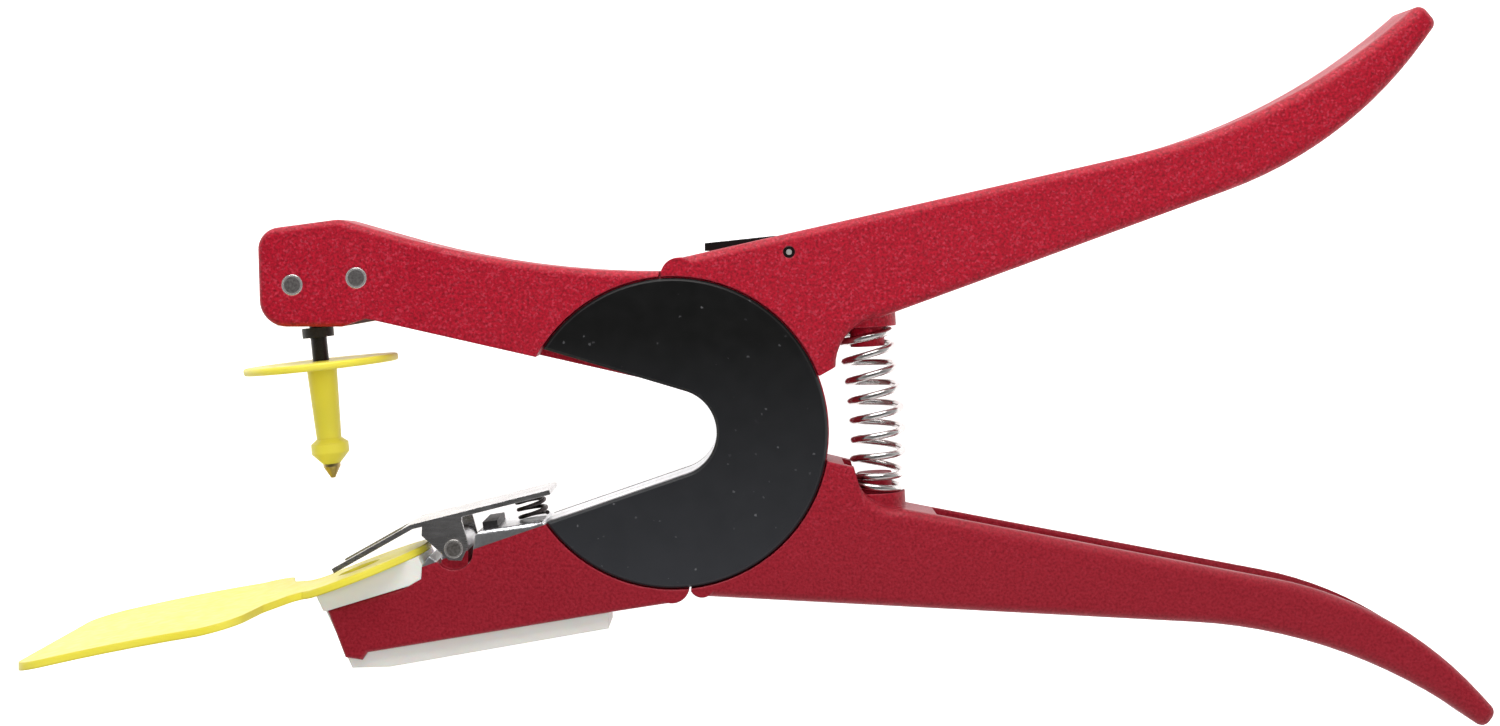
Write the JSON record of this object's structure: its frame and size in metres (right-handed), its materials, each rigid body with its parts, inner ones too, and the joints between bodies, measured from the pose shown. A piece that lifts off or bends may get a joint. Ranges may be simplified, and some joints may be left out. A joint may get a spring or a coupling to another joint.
{
  "type": "ear tag applicator",
  "caption": "Hand plier that closes a pin-carrying upper jaw on a clipped lower jaw to set a two-part livestock ear tag, with sprung handles.",
  "frame": {"origin": "middle of the tool's outline at the surface that it lies on, on its side", "axes": "+X towards the handles, +Y towards the upper jaw, +Z out of the tool's plane, along the turning axis"},
  "size_m": [0.291, 0.1443, 0.058],
  "materials": {
    "crimson_coat": "metallic crimson powder coat",
    "crimson_coat_dark": "crimson powder coat",
    "black_coat": "semi-matt black",
    "plain_steel": "ground",
    "liner_plastic": "matt",
    "spring_steel": "bright",
    "black_rubber": "matt",
    "black_steel": "blackened",
    "yellow_tag": "satin",
    "brass_point": "turned",
    "white_nylon": "satin",
    "stainless_sheet": "rolled",
    "dark_wire": "plain wire"
  },
  "bodies": {
    "lower_jaw": {"lower_jaw_arm": "crimson_coat_dark", "front_cover": "black_coat", "rear_cover": "black_coat", "cover_studs": "plain_steel", "web_liner": "liner_plastic", "lock_lever_pin": "plain_steel", "tag_insert": "white_nylon", "female_tag": "yellow_tag", "clip_spring": "dark_wire", "clip_buffer": "black_rubber", "handle_spring": "spring_steel"},
    "upper_jaw": {"upper_jaw_arm": "crimson_coat", "pin_carrier": "plain_steel", "front_dowel": "plain_steel", "rear_dowel": "plain_steel", "pin_collar": "black_rubber", "applicator_pin": "black_steel", "male_tag": "yellow_tag", "male_tag_point": "brass_point"},
    "clip": {"tag_clip": "stainless_sheet", "clip_pivot": "stainless_sheet"},
    "lever": {"lock_lever": "black_coat"}
  },
  "joints": [
    {"name": "arm_pivot", "type": "hinge", "parent": "lower_jaw", "child": "upper_jaw", "pos_m": [-0.0202, -0.0133, 0.029], "axis": [0, 0, 1], "range_deg": [0, 27], "stiffness_Nm_per_rad": 1.5, "springref_deg": -20.05, "deforming": ["handle_spring"]},
    {"name": "clip_hinge", "type": "hinge", "parent": "lower_jaw", "child": "clip", "pos_m": [-0.0641, -0.0365, 0.029], "axis": [0, 0, -1], "range_deg": [0, 8], "stiffness_Nm_per_rad": 0.15, "springref_deg": -17.19, "deforming": ["clip_spring"]},
    {"name": "lever_hinge", "type": "hinge", "parent": "lower_jaw", "child": "lever", "pos_m": [0.003, 0.0229, 0.029], "axis": [0, 0, -1], "range_deg": [0, 35]}
  ]
}
